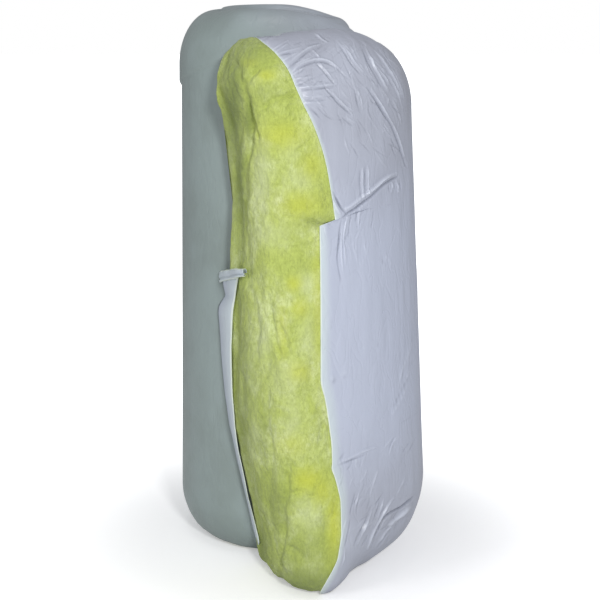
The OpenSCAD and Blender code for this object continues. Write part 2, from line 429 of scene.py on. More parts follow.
# Ridges (+) and creases (-): height and half width in millimetres, then their course in
# the picture. All are then made this much higher, and slimmer.
FOLD_LIFT, FOLD_SLIM = 1.8, 0.50
CREASES = [
    (2.0, 3, [(271, 51), (279, 46), (288, 41)]),
    (-1.8, 3, [(276, 57), (286, 54.5), (297, 53)]),
    (2.2, 3, [(281, 62), (290, 57), (298, 53)]),
    (-2.0, 3, [(286, 70), (294, 64), (301, 60)]),
    (1.8, 3, [(291, 80), (300, 78.5), (311, 77)]),
    (-1.6, 3, [(295, 86), (304, 84), (314, 82)]),
    (1.4, 3, [(303, 104), (312, 103), (322, 104)]),
    (2.2, 3, [(275, 53), (280, 49), (287, 45)]),
    (2.0, 3, [(276, 54), (286, 52), (294, 50), (301, 48)]),
    (2.6, 3, [(289, 63), (296, 57), (308, 49), (318, 45), (327, 42)]),
    (3.2, 3.5, [(289, 75), (297, 67), (304, 63), (314, 60), (324, 60), (332, 63), (339, 69)]),
    (2.2, 3, [(290, 76), (297, 72), (304, 68)]),
    (1.6, 3, [(295, 64), (303, 61), (311, 58)]),
    (2.2, 3, [(300, 88), (308, 87), (318, 86), (328, 85), (337, 84)]),
    (-2.0, 3, [(302, 90.5), (312, 89.5), (322, 88.5), (334, 87)]),
    (-2.2, 3, [(298, 69.5), (306, 65.5), (316, 62.5), (326, 63), (334, 67)]),
    (-1.8, 3, [(291, 66), (298, 60), (309, 52), (320, 47.5)]),
    (-2.0, 3, [(316, 64), (322, 70), (328, 77), (336, 86)]),
    (1.6, 3, [(319, 63), (326, 71), (332, 79)]),
    (1.6, 3, [(312, 50), (316, 54), (320, 58)]),
    (2.0, 3, [(314, 33), (319, 37), (326, 42)]),
    (-1.6, 3, [(317, 33), (322, 37), (328, 41)]),
    (2.0, 3.2, [(343, 46), (348, 53), (354, 62), (362, 72)]),
    (-1.8, 3.2, [(340, 47), (345, 55), (350, 63), (358, 73)]),
    (1.4, 3, [(350, 47), (353, 53), (356, 60)]),
    (3.4, 3.6, [(364, 46), (368, 56), (372, 65), (378, 75), (383, 84), (387, 91)]),
    (-2.4, 3.4, [(361, 48), (365, 58), (369, 67), (375, 77), (380, 86)]),
    (2.2, 3.2, [(368, 58), (375, 67), (383, 76), (388, 84)]),
    (-3.0, 3.6, [(366, 88), (372, 97), (378, 106), (384, 116), (390, 124), (396, 138),
        (402, 154), (406, 166)]),
    (2.8, 3.6, [(370, 88), (376, 98), (382, 108), (388, 118), (394, 128), (400, 143),
        (404, 156)]),
    (2.2, 3, [(374, 51), (382, 61), (390, 73), (396, 84), (401, 95)]),
    (-1.8, 3, [(377, 50), (386, 61), (394, 73), (400, 84)]),
    (2.0, 3, [(386, 60), (392, 70), (398, 82), (403, 97)]),
    (1.8, 2.8, [(388, 76), (393, 85), (398, 96), (402, 108)]),
    (1.6, 2.8, [(392, 100), (397, 111), (401, 124)]),
    (-2.2, 3, [(330, 94), (334, 99), (338, 104), (344, 109), (350, 114)]),
    (1.8, 3, [(333, 93), (338, 99), (344, 105), (352, 111)]),
    (-1.8, 3, [(354, 89), (356, 100), (359, 112)]),
    (1.6, 3, [(357, 90), (360, 98), (362, 108)]),
    (-1.4, 3, [(342, 118), (347, 122), (352, 126)]),
    (1.2, 3, [(345, 116), (350, 120), (355, 123)]),
    (-1.2, 3, [(350, 144), (354, 150), (358, 157)]),
    (1.2, 3, [(344, 138), (346, 146), (349, 153)]),
    (1.6, 3, [(304, 96), (314, 97), (324, 96)]),
    (-1.4, 3, [(306, 100), (316, 101), (326, 100)]),
    (2.2, 3, [(362, 168), (362, 182), (363, 197)]),
    (2.2, 3, [(367.5, 167), (368, 180), (368, 195)]),
    (-2.4, 2.8, [(365, 167), (365, 181), (365.5, 197)]),
    (-1.6, 3, [(359.5, 170), (359.5, 184), (361, 199)]),
    (-5.0, 3.6, [(397, 177), (391, 180), (385, 184), (378, 190), (370, 197), (362, 203),
        (354, 209), (347, 213), (343, 217)]),
    (4.2, 5.0, [(396, 173), (389, 176), (382, 181), (374, 188), (366, 194), (358, 200),
        (350, 206), (345, 209)]),
    (-4.0, 3.6, [(333, 192), (336, 199), (340, 207), (345, 213)]),
    (4.0, 4.2, [(330, 190), (332, 199), (336, 208), (340, 214)]),
    (2.0, 2.6, [(391, 181), (392, 187), (391, 192)]),
    (2.0, 2.6, [(396, 180), (398, 187), (398, 192)]),
    (-1.8, 2.6, [(394, 181), (395, 189)]),
    (-1.8, 2.6, [(388, 184), (389, 191)]),
    (-1.8, 2.6, [(400, 181), (401, 190)]),
    (-2.4, 3, [(341, 219), (339, 232), (338, 246), (337, 258), (339, 272), (341, 281)]),
    (2.2, 3.2, [(347, 217), (344, 229), (343, 240), (344, 252), (345, 262)]),
    (1.8, 3.2, [(343, 224), (341, 237), (341, 252), (342, 266), (344, 275)]),
    (-1.6, 3, [(351, 214), (349, 224), (348, 236)]),
    (-1.6, 3, [(357, 211), (355, 221)]),
    (1.6, 3, [(360, 208), (358, 219), (358, 228)]),
    (1.4, 3.4, [(383, 255), (388, 259), (391, 265)]),
    (-1.2, 3.4, [(380, 259), (386, 265)]),
    (-1.4, 3, [(327, 383), (334, 381), (345, 376)]),
    (1.4, 3, [(328, 379), (336, 377), (347, 371)]),
    (1.6, 3, [(412, 343), (408, 354), (402, 370), (398, 387)]),
    (-1.4, 3, [(408, 378), (400, 393), (393, 407)]),
    (1.4, 3, [(407, 386), (400, 400), (392, 414)]),
    (1.4, 3.4, [(398, 436), (392, 444), (388, 456)]),
    (2.2, 3, [(337, 463), (345, 460), (354, 456), (364, 451), (376, 447)]),
    (-1.8, 3, [(338, 465.5), (346, 462.5), (356, 458.5), (366, 454)]),
    (1.8, 3, [(359, 493), (357, 500), (355, 508)]),
    (-1.4, 3, [(355, 494), (352, 505), (350, 514)]),
    (1.4, 3.2, [(378, 470), (373, 485), (370, 497)]),
    (2.6, 3.2, [(372, 511), (368, 521), (363, 531), (358, 543)]),
    (-2.4, 3.0, [(368, 514), (364, 524), (359, 534), (354, 545)]),
    (3.6, 3.2, [(394, 497), (388, 505), (383, 514), (377, 525), (372, 535), (367, 548)]),
    (-3.4, 3.0, [(391, 511), (386, 516), (381, 524), (376, 534), (371, 547)]),
    (2.0, 3, [(384, 498), (381, 508), (378, 517)]),
    (-1.8, 3, [(380, 500), (377, 511), (373, 522)]),
    (-5.5, 3.6, [(412, 497), (406, 503), (400, 508), (393, 511), (387, 515), (382, 521),
        (378, 530)]),
    (5.0, 7.0, [(409, 507), (402, 514), (395, 520), (389, 525)]),
    (2.2, 3.2, [(391, 525), (385, 532), (379, 541)]),
    (-1.8, 3, [(390, 529), (384, 537), (377, 546)]),
    (1.4, 3.2, [(405, 478), (401, 486), (397, 494)]),
    (1.6, 3, [(346, 520), (343, 532), (341, 546)]),
    (-1.4, 3, [(350, 520), (348, 532), (345, 546)]),
    (1.5, 3, [(345, 548), (344, 558), (341, 567)]),
]

# The same for the glass wool of the open end, which are made this much higher
WOOL_FOLD_LIFT = 1.25
WOOL_FOLDS = [
    (-9, 6, [(242, 90), (248, 79), (256, 70), (264, 66), (273, 65)]),
    (-14, 6, [(243, 84), (247, 100), (250, 114), (250, 130), (249, 148), (247, 170), (246, 192),
              (245, 210), (243, 224)]),
    (-11, 5, [(252, 116), (255, 128), (258, 138)]),
    (-8, 6, [(257, 113), (266, 106), (276, 99), (288, 96), (300, 95)]),
    (-6, 5, [(294, 152), (302, 148), (311, 140)]),
    (4, 6, [(281, 140), (291, 133), (301, 130)]),
    (-5, 6, [(230, 56), (236, 66), (240, 78), (243, 88)]),
    (-7, 4, [(286, 216), (300, 219), (312, 221.5), (322, 225), (333, 224)]),
    (-5, 6, [(244, 224), (246, 245), (248, 270), (252, 300), (256, 325), (254, 350), (256, 374)]),
    (-6, 5, [(268, 296), (270, 318), (275, 340), (281, 358)]),
    (-6, 5, [(277, 324), (283, 335), (288, 344)]),
    (5, 8, [(270, 268), (266, 285), (264, 300)]),
    (-4, 5, [(288, 373), (298, 370), (307, 372)]),
    (-5, 6, [(268, 384), (267, 402), (269, 430), (271, 458), (270, 484)]),
    (-8, 4, [(322.5, 422), (320.5, 434), (319, 446)]),
    (-8, 6, [(290, 463), (287, 476), (288, 492), (284, 506), (284, 526), (283, 546), (281, 562),
             (284, 574)]),
    (-6, 6, [(288, 494), (300, 492), (312, 497)]),
    (5, 9, [(279, 470), (277, 484), (280, 496)]),
    (5, 9, [(296, 468), (298, 482)]),
    (6, 9, [(300, 508), (312, 515), (322, 530)]),
    (-5, 6, [(268, 500), (272, 516), (273, 538)]),
    (-6, 5, [(284, 545), (295, 550), (304, 557)]),
    (5, 7, [(286, 552), (287, 562), (292, 570)]),
    (-5, 6, [(322, 500), (327, 520), (325, 545)]),
]

# Fine puckers between them: corner and corner of a patch in the picture, how many, and
# which way they run, in degrees down from the right
PUCKERS = [
    ((296, 40), (352, 84), 26, -28), ((338, 44), (398, 110), 46, 58),
    ((300, 84), (352, 122), 22, 40), ((352, 96), (402, 160), 22, 62),
    ((336, 196), (372, 262), 16, 98), ((338, 455), (372, 520), 16, 112),
    ((352, 500), (408, 552), 34, 124), ((374, 330), (414, 450), 10, 118),
]


def fine_puckers():
    """Short faint ridges and creases, strewn over the patches."""
    rng = np.random.default_rng(8)
    out = []
    for low, high, count, way in PUCKERS:
        for _ in range(count):
            x, y = rng.uniform(low, high)
            a = math.radians(way + rng.normal(0, 13))
            half = rng.uniform(4, 11)
            bow = rng.uniform(-1.5, 1.5)
            dx, dy = half * math.cos(a), half * math.sin(a)
            course = [(x - dx, y - dy), (x - bow * dy / half, y + bow * dx / half),
                      (x + dx, y + dy)]
            out.append((rng.choice([-1, 1]) * rng.uniform(0.5, 1.3), 2.6, course))
    return out


def along_lines(folds, points, normals, slim=1.0):
    """Relief of ridges and creases, in metres, at points that the camera can see."""
    seen = in_picture(points)
    to_camera = np.array(CAMERA) - points
    facing_it = (normals * to_camera).sum(-1) / np.linalg.norm(to_camera, axis=-1)
    total = np.zeros(len(points))
    for height, width, course in folds:
        line = through(course, 5)
        w = slim * width / 1000 / PIXEL
        near = np.where(((seen > line.min(0) - 5 * w) & (seen < line.max(0) + 5 * w))
                        .all(1) & (facing_it > 0.05))[0]
        if not len(near):
            continue
        p = seen[near]
        best = np.full(len(near), 1e9)
        where = np.zeros(len(near))
        for i in range(len(line) - 1):
            a, b = line[i], line[i + 1]
            ab = b - a
            t = np.clip(((p - a) @ ab) / (ab @ ab + 1e-9), 0, 1)
            d = np.linalg.norm(p - (a + t[:, None] * ab), axis=1)
            closer = d < best
            best[closer], where[closer] = d[closer], ((i + t) / (len(line) - 1))[closer]
        fade = np.sin(np.pi * np.clip(where, 0.03, 0.97)) ** 0.45
        grow = 0.75 + 0.25 * np.sin(9 * where + 40 * height)
        x = best / w
        total[near] += (height / 1000 * fade * grow * (np.exp(-x * x) - 0.18 * np.exp(-x * x / 6))
                        * smooth_step(0.05, 0.30, facing_it[near]))
    return total


# A turn below shows through as a faint step near the top of the roll's left side: its height
# at an angle round the roll, how it climbs for each degree, and how far it stands out
STEP_Z, STEP_ANGLE, STEP_CLIMB, STEP_PROUD = 1.052, 185, 0.0012, 0.0050
DEEPEST_REAR = -0.0005              # the roll's film lies no deeper, or wool would show


def film_relief(s, q, z):
    """How far the facing stands out from the plain surface, in metres."""
    p = np.stack([s, z, np.zeros_like(s)], -1)
    plain, normals = plain_surface(s, q), outward(s, q)
    traced = along_lines(CREASES + fine_puckers(), plain.reshape(-1, 3),
                         normals.reshape(-1, 3), FOLD_SLIM).reshape(s.shape) * FOLD_LIFT
    loose_part = 1 - smooth_step(RUN_MERGE - 0.15, RUN_MERGE + 0.05, s)
    soft = 0.0016 * lumps(p, (0.050, 0.230, 1), 3) + 0.0009 * lumps(p, (0.022, 0.080, 1), 4)
    rear = 0.0012 * lumps(p, (0.16, 0.30, 1), 5)
    angle = np.degrees((s - RUN_MERGE) / ROLL_R) + 46
    line = STEP_Z + STEP_CLIMB * (angle - STEP_ANGLE)
    step = smooth_step(line - 0.005, line + 0.004, z) * (1 - loose_part)
    rear = rear + 0.0025 * np.abs(lumps(p, (0.07, 0.05, 1), 6)) * smooth_step(0.20, 0.06, z)
    rear = rear + STEP_PROUD * step - 0.0014 * (1 - loose_part) * smooth_step(0.5, 0.9, z)
    rear = np.maximum(rear, DEEPEST_REAR)
    return traced + soft * loose_part + rear, traced


# Facing

def along(x, y):
    """Distance along a line, at each of its points."""
    return np.concatenate([[0], np.cumsum(np.hypot(np.diff(x), np.diff(y)))])


def film_start(q):
    """Where along the plan the film's free edge is, on the section line q."""
    s = np.linspace(run_at(0.5), run_at(12), 600)
    seen = in_picture(plain_surface(s, np.full_like(s, q)))
    over = seen[:, 0] - bend(seen[:, 1], EDGE_DOWN, EDGE_RIGHT)
    k = np.argmax(over > 0)
    return s[k] - (s[k] - s[k - 1]) * over[k] / (over[k] - over[k - 1]) if k else s[0]


# Steps from row to row of the film: the least, and how much more on the plain part of the
# side and at the end of the way over the top
ROW_STEP, PLAIN_STEP, TOP_STEP = 0.0022, 0.0060, 0.004


def row_places():
    """Section places for the film's rows, close together at foot and top."""
    q = np.linspace(0.16, 4.0, 4000)
    inward, z = section(np.full_like(q, run_at(11)), q)
    length = along(inward, z)
    plain_part = smooth_step(0.32, 0.40, z) * (1 - smooth_step(0.70, 0.78, z))
    step = ROW_STEP + PLAIN_STEP * plain_part + TOP_STEP * smooth_step(3.2, 3.8, q)
    count = np.concatenate([[0], np.cumsum(np.diff(length) / step[1:])])
    return np.interp(np.linspace(0, count[-1], int(count[-1]) + 1), count, q)


FILM_ROWS = row_places()
FILM_STARTS = np.array([film_start(q) for q in FILM_ROWS])
# Columns of the film: nose, side, roll, and the part under the loose end
NOSE_COLUMNS, SIDE_COLUMNS, ROLL_COLUMNS, UNDER_COLUMNS = 225, 45, 55, 23


def film_grid():
    """Run along the plan and place in the section, for every point of the facing."""
    nose = np.linspace(0, 1, NOSE_COLUMNS)
    nose = 0.75 * nose + 0.25 * nose ** 3       # finer towards the free edge
    rest = np.concatenate([np.linspace(RUN_BACK, RUN_MERGE, SIDE_COLUMNS + 1)[1:],
                           np.linspace(RUN_MERGE, RUN_UNDER, ROLL_COLUMNS + 1)[1:],
                           np.linspace(RUN_UNDER, RUN_END, UNDER_COLUMNS + 1)[1:]])
    s = np.array([np.concatenate([start + (RUN_BACK - start) * nose, rest])
                  for start in FILM_STARTS]).T
    return s, FILM_ROWS * np.ones_like(s)


CALM_BY = 0.020                     # over this width the film settles at its free edge
RIDGE_HIGHLIGHT_FULL, CREASE_SHADE_FULL = 0.007, 0.0060     # relief at which a ridge has its full painted highlight and a crease its full painted shade


def main_facing():
    """The main sheet, from its free edge round the loose end and on round the roll."""
    s, q = film_grid()
    z = section(s, q)[1]
    from_edge = s - FILM_STARTS
    relief, traced = film_relief(s, q, z)
    # at its free edge the film lies down on the wool
    calm = smooth_step(0.0, CALM_BY, from_edge)
    relief = np.where(relief < 0, relief * calm, relief * (0.4 + 0.6 * calm))
    pts = surface(s, q, FACING_LIFT - 0.0004 * (1 - calm) + relief)
    pts[..., 2] = np.maximum(pts[..., 2], 0.001)
    # "round" is painted shade on the roll's film; on the roll's top right it is lifted, as
    # painted light
    lit_top_right = smooth_step(1.10, 1.20, z) * smooth_step(-0.22, 0.12, pts[..., 0])
    return film_piece("facing", pts, fields={
        "round": smooth_step(RUN_MERGE - 0.10, RUN_MERGE + 0.15, s) * (1 - 0.8 * lit_top_right),
        # lighter band along the free edge: painted light, with a painted highlight on its lip
        "from_edge": from_edge * (1 + 2 * smooth_step(0.76, 0.90, z)),
        # lighter colour on the ridges: painted highlight
        "painted_ridge_highlight": np.maximum(traced, 0) / RIDGE_HIGHLIGHT_FULL,
        # darker colour in the creases: painted shade
        "crease": np.clip(-traced / CREASE_SHADE_FULL, 0, 0.5),
        # paler band at mid-height of the front: painted light
        "pale_tint_and_painted_light": smooth_step(0.12, 0.40, z) * (1 - smooth_step(0.72, 1.00, z))})


facing = main_facing()


# Glass wool, loose end

def starts_at(q):
    """Where the film's free edge is, for any section place."""
    return np.interp(q, FILM_ROWS, FILM_STARTS)


# Lumps of the open wool: height, size and seed
WOOL_LUMPS = [
    (0.0060, (0.060, 0.060, 0.085), 11), (0.0034, (0.030, 0.030, 0.042), 12),
    (0.0017, (0.013, 0.013, 0.018), 13), (0.0011, (0.006, 0.006, 0.008), 14),
]


def wool_relief(s, q, base):
    """How far the loose end's wool stands out; where film covers it, it lies below."""
    over = s - starts_at(q)
    open_part = 1 - smooth_step(-0.002, 0.003, over)
    lump = sum(height * lumps(base, size, seed) for height, size, seed in WOOL_LUMPS)
    lump = lump * (0.25 + 0.75 * smooth_step(0.0, -0.030, over))
    lump = lump * (0.45 + 0.55 * smooth_step(run_at(2), run_at(3.5), s))
    folds = along_lines(WOOL_FOLDS, base.reshape(-1, 3),
                        outward(s, q).reshape(-1, 3)).reshape(s.shape) * WOOL_FOLD_LIFT
    low = -0.006 * smooth_step(0.09, 0.0, base[..., 2])
    covered = -0.0012 - 0.009 * smooth_step(0.003, 0.030, over)
    return (lump + folds + low) * open_part + covered * (1 - open_part)


def wool_columns():
    """Places along the run, close together on the open edge."""
    fine = np.linspace(0.0, run_at(9) + 0.02, 175)
    coarse = np.linspace(run_at(9) + 0.02, RUN_MERGE - 0.01, 26)[1:]
    return np.concatenate([fine, coarse])


def wool_rows():
    """Section places, evenly spread by length at the nose."""
    q = np.linspace(0.0, 4.0, 4000)
    inward, z = section(np.full_like(q, RUN_NOSE), q)
    length = along(inward, z)
    return np.interp(np.linspace(0, length[-1], 400), length, q)


def wool_against_roll(front, base, q):
    """The loose end's side that lies against the roll, from the crest down to the floor."""
    side = q[0] <= 2.6
    z = np.linspace(1.0, 0.0, 60)[None, :] * front[:, -1:, 2]
    low = np.array([np.interp(np.clip(row, 0.03, 0.90), height, angle) for row, height, angle
                    in zip(z, base[:, side, 2], way_round(base[:, side]))])
    top = way_round(front[:, -1])
    polar = low + (top[:, None] - low) * smooth_step(0.98, 1.12, z)
    rim = RIM_Z - sag(ROLL_R * np.cos(polar))
    r = np.interp(z, FOOT_Z + [BACK_TOP_Z], BACK_FOOT_R + [BACK_TOP_R])
    r = np.where(z > BACK_TOP_Z, shoulder_r(z, rim), r) - 0.0005
    reach = np.hypot(front[:, -1, 0] - ROLL_X, front[:, -1, 1] - ROLL_Y)
    r = np.minimum(r, reach[:, None] - 0.004)
    return round_roll(r, polar, z)


# Darker parts of the open end in olive painted shade, and its yellower and paler parts: right,
# down, reach right and down, strength
OLIVE_SHADE_PARTS = [
    (233, 105, 13, 72, 0.95), (240, 185, 8, 75, 0.80), (250, 48, 30, 20, 0.60),
    (262, 92, 22, 8, 0.30), (300, 588, 60, 26, 0.85), (262, 552, 12, 34, 0.70),
    (274, 505, 9, 34, 0.50), (249, 118, 6, 30, 0.8), (320, 222, 20, 6, 0.35),
    (262, 440, 14, 60, 0.30), (264, 500, 15, 50, 0.40), (283, 562, 26, 16, 0.50),
    (243, 400, 14, 110, 0.50), (265, 425, 5, 34, 0.45), (281, 505, 9, 40, 0.50),
    (278, 545, 7, 18, 0.35), (330, 560, 16, 20, 0.35), (306, 552, 34, 22, 0.40),
    (240, 300, 6, 50, 0.45),
]
BRIGHT_PARTS = [
    (300, 205, 22, 14, 0.45), (294, 284, 8, 8, 0.55), (300, 308, 10, 10, 0.45),
    (282, 135, 26, 14, 0.45), (300, 372, 12, 10, 0.45), (283, 330, 6, 30, 0.35),
    (308, 480, 16, 13, 0.60), (322, 490, 12, 16, 0.50), (334, 530, 8, 38, 0.70),
    (312, 165, 12, 16, 0.40), (266, 75, 10, 6, 0.50), (250, 62, 8, 5, 0.50),
    (318, 300, 6, 60, 0.35), (290, 445, 18, 12, 0.30),
]
PALE_PARTS = [
    (306, 284, 10, 12, 0.45), (309, 518, 13, 20, 0.42), (309, 335, 9, 30, 0.32),
    (262, 345, 10, 26, 0.40), (250, 365, 7, 26, 0.30), (285, 375, 16, 14, 0.40),
    (262, 175, 9, 34, 0.50), (300, 180, 14, 12, 0.35), (268, 235, 18, 14, 0.35),
    (252, 430, 5, 34, 0.35), (293, 420, 10, 22, 0.30), (292, 150, 10, 12, 0.30),
]


def spread(parts, points):
    """Soft patches, 0 to 1, placed in the picture."""
    seen = in_picture(points)
    total = np.zeros(points.shape[:-1])
    for right, down, wide, tall, strength in parts:
        d = ((seen[..., 0] - right) / wide) ** 2 + ((seen[..., 1] - down) / tall) ** 2
        total = np.maximum(total, strength * np.exp(-d ** 1.1))
    return total


def loose_end():
    """The wool of the loose end, from the open edge back to the roll."""
    s, q = np.meshgrid(wool_columns(), wool_rows(), indexing="ij")
    base = plain_surface(s, q)
    front = surface(s, q, wool_relief(s, q, base))
    front[..., 2] = np.clip(front[..., 2], 0.0, None)
    pts = np.concatenate([front, wool_against_roll(front, base, q)], 1)
    # painted olive shade in its patches, and darker in painted shade where it meets the roll
    olive_shade = np.maximum(spread(OLIVE_SHADE_PARTS, pts), 0.9 * smooth_step(0.012, 0.003, s[:, :1]))
    return grid_piece("loose_wool", pts, around_v=True, caps=True, fields={
        "olive_shade": olive_shade, "bright": spread(BRIGHT_PARTS, pts) * (1 - olive_shade),
        # on the wool these pale patches are its own paler tint
        "pale_tint_and_painted_light": spread(PALE_PARTS, pts) * (1 - olive_shade)})


loose_wool = loose_end()


# Glass wool, the roll

def roll_profile():
    """Closed section of the rolled wool: radius and height, going round it."""
    def arc(cr, cz, rr, rz, a0, a1, n):
        a = np.radians(np.linspace(a0, a1, n))
        return np.stack([cr + rr * np.cos(a), cz + rz * np.sin(a)], -1)
    side_z = RIM_Z - SHOULDER_H
    inset = 0.0030
    parts = [
        arc(ROLL_R - 0.072 - inset, 0.110, 0.072, 0.108, -86, 0, 14),
        np.stack([np.linspace(ROLL_R - inset, ROLL_R - ROLL_TAPER - inset, 40)[1:-1],
                  np.linspace(0.110, side_z, 40)[1:-1]], -1),
        arc(ROLL_R - ROLL_TAPER - SHOULDER_W - inset, side_z, SHOULDER_W, SHOULDER_H - 0.006,
            0, 76, 18),
        np.array([[TURN_R + 0.010, 1.192], [TURN_R + 0.006, 1.187], [TURN_R + 0.004, 1.184],
                  [TURN_R, 1.181], [TURN_R - 0.002, 1.182], [TURN_R - 0.003, 1.188]]),
        arc(TURN_R - 0.021, 1.197, 0.018, 0.020, 0, 90, 9),
        arc(BORE_R + 0.012, 1.206, 0.011, 0.011, 90, 180, 6),
        np.stack([np.full(38, BORE_R), np.linspace(1.19, 0.025, 38)], -1),
        arc(BORE_R + 0.014, 0.014, 0.014, 0.013, 180, 270, 6),
        np.array([[TURN_R - 0.030, 0.0], [TURN_R - 0.014, 0.003], [TURN_R - 0.004, 0.012],
                  [TURN_R + 0.004, 0.012], [TURN_R + 0.014, 0.003]]),
    ]
    return np.vstack(parts)


def rolled_wool():
    """The wool of the roll, turned round its middle and slumped like the film over it."""
    line = roll_profile()
    count = 150
    angle = np.linspace(0, 2 * np.pi, count, endpoint=False)[:, None] * np.ones((1, len(line)))
    r, z = (line[None, :, i] * np.ones((count, 1)) for i in (0, 1))
    pts = np.stack([r * np.cos(angle), r * np.sin(angle), z], -1)
    ends = smooth_step(RIM_Z - 0.02, RIM_Z - 0.005, z) + 0.5 * (r < BORE_R + 0.004)
    nudge = (0.0025 * lumps(pts, (0.05, 0.05, 0.05), 21)
             + 0.0015 * lumps(pts, (0.015, 0.015, 0.02), 22)) * ends
    pts[..., 2] += np.where(z > 0.5, nudge - 0.002 * ends, 0)
    pts[..., 2] -= sag_at(pts[..., 0], z)
    pts[..., 2] += (front_rise(pts[..., 0], pts[..., 1], z)
                    * smooth_step(TURN_R, TURN_R + 0.005, r))
    pts[..., 0] += ROLL_X
    pts[..., 1] += ROLL_Y
    return grid_piece("roll_wool", pts, around_u=True, around_v=True)


roll_wool = rolled_wool()


# Facing's inner turn

def inner_turn():
    """The film of the turn round the bore, over its top and a little way down the bore."""
    a = np.radians(np.linspace(0, 90, 10))
    mouth = BORE_R + 0.0105
    line_r = np.concatenate([np.full(3, TURN_R), TURN_R - 0.019 + 0.019 * np.cos(a),
                             mouth + 0.0015 - 0.014 * np.sin(a[1:]), np.full(8, BORE_R - 0.0028)])
    line_z = np.concatenate([np.linspace(1.184, 1.194, 3), 1.197 + 0.0225 * np.sin(a),
                             1.206 + 0.0135 * np.cos(a[1:]), np.linspace(1.200, 1.150, 8)])
    count = 180
    r, angle = np.meshgrid(line_r, np.linspace(0, 2 * np.pi, count, endpoint=False))
    z = line_z[None, :] * np.ones((count, 1))
    pts = np.stack([r * np.cos(angle), r * np.sin(angle), z], -1)
    out = 0.0015 * lumps(pts, (0.045, 0.045, 0.06), 31)
    pts = round_roll(r + out, angle, z - 0.0015 + out * 0.7)
    pts[..., 2] -= sag(pts[..., 0] - ROLL_X)
    # "round" here is painted shade, darker on the turn's left
    return film_piece("facing_inner_turn", pts, around_u=True, fields={
        "round": 1 - 0.7 * smooth_step(-0.25, 0.05, pts[..., 0]), "from_edge": np.ones_like(z)})


facing_inner = inner_turn()


# Film left of the open edge

# The strip: how far down in the picture, and its left and right edge there
STRIP_DOWN = [270, 285, 295, 305, 312, 345, 390, 425, 456, 475, 500, 526, 545]
STRIP_LEFT = [222, 223, 225.5, 219, 218, 220.5, 224.5, 229.3, 236.2, 240.5, 246.5, 252.5,
              257]
STRIP_RIGHT = [240, 237, 235.5, 234, 233, 231, 232.5, 234.5, 239.5, 243.5, 249, 255.5,
               260]
STRIP_PROUD = 0.005                 # how far its right rim stands off the wool


def below_level(down):
    """How far below level the camera sees a row of its picture."""
    return TILT - np.arctan((CENTRE - down) / FOCAL)


def at_picture(right, down, y):
    """Place x, z at the distance y that the camera sees at a point of the picture."""
    d = y - CAMERA[1]
    z = CAMERA[2] - d * np.tan(below_level(down))
    depth = d * math.cos(TILT) + (CAMERA[2] - z) * math.sin(TILT)
    return CAMERA[0] + (right - CENTRE) / FOCAL * depth, z


def against_roll(right, down):
    """Point on the roll's face, or on the floor in front of it, seen at a picture point."""
    y = np.full_like(down, ROLL_Y - 0.20)
    for _ in range(5):
        x, z = at_picture(right, down, y)
        r = np.interp(z, FOOT_Z, ROLL_FOOT_R)
        y = ROLL_Y - np.sqrt(r ** 2 - (x - ROLL_X) ** 2)
    floor_y = CAMERA[1] + (CAMERA[2] - 0.004) / np.tan(below_level(down))
    y = np.minimum(y, floor_y)
    x, z = at_picture(right, down, y)
    return np.stack([x, y, z], -1)


def on_wool(q):
    """Picture height and place of the strip's right rim, on the wool's section line q."""
    s = np.linspace(0, run_at(4), 500)
    pts = surface(s, np.full_like(s, q), STRIP_PROUD)
    seen = in_picture(pts)
    limb = np.argmin(seen[:, 0])
    over = seen[limb:, 0] - np.interp(seen[limb:, 1], STRIP_DOWN, STRIP_RIGHT)
    k = limb + np.argmax(over > 0)
    return seen[k, 1], pts[k]


def left_strip():
    """The strip of film between the wool and the roll, its outer rim turned to the front."""
    down = np.linspace(STRIP_DOWN[-1], STRIP_DOWN[0], 170)
    left = against_roll(np.interp(down, STRIP_DOWN, STRIP_LEFT), down)
    rim = [on_wool(q) for q in np.linspace(1.8, 0.4, 170)]
    rim = [r for r in rim if r[0] < STRIP_DOWN[-1]]
    rim_down, rim_pts = np.array([r[0] for r in rim]), np.array([r[1] for r in rim])
    right = np.stack([np.interp(down, rim_down, rim_pts[:, i]) for i in range(3)], -1)
    right[:, 2] = np.maximum(right[:, 2], 0.003)
    t = np.linspace(0, 1, 14)[None, :, None]
    pts = left[:, None] * (1 - t) + right[:, None] * t
    bow = np.sin(np.pi * t[..., 0]) ** 0.8
    room = smooth_step(0.02, 0.06, np.linalg.norm(right - left, axis=1))[:, None]
    pts[..., 1] -= 0.012 * bow * room
    pts[..., 0] += 0.0012 * lumps(pts, (0.05, 0.05, 0.06), 41) * room
    # painted light over the strip, brighter toward its right rim, and a painted shadow line along
    # its left rim
    return film_piece("facing_left_strip", pts, flip=True, fields={
        "round": np.full(pts.shape[:2], 0.0), "pale_tint_and_painted_light": np.full(pts.shape[:2], 1.0),
        "from_edge": np.ones((len(down), 1)) * (1 - t[..., 0]) * 0.022,
        "crease": smooth_step(0.0032, 0.0008, np.linalg.norm(pts - left[:, None], axis=-1))})


# The tab's way along the wool, seen from above about the roll's middle, from the roll to
# its tip
TAB_PATH = np.array([
    (-0.1410, -0.193), (-0.1350, -0.222), (-0.1260, -0.255), (-0.1150, -0.286),
    (-0.1070, -0.318), (-0.0980, -0.350), (-0.0810, -0.380)])
TAB_Z, TAB_RISE = 0.632, [-0.001, 0.053]
TAB_OUT = (-0.62, -0.78)            # the way that it faces
# Its section: lower fold, front, crease across it, upper fold, short way down behind
TAB_SECTION = np.array([
    (0.006, 0.004), (0.001, 0.000), (-0.003, 0.003), (-0.004, 0.007), (0.0012, 0.0095),
    (-0.0015, 0.012), (-0.003, 0.016), (-0.002, 0.021), (-0.0035, 0.0255),
    (0.001, 0.0275), (0.004, 0.027), (0.006, 0.022), (0.007, 0.012)])


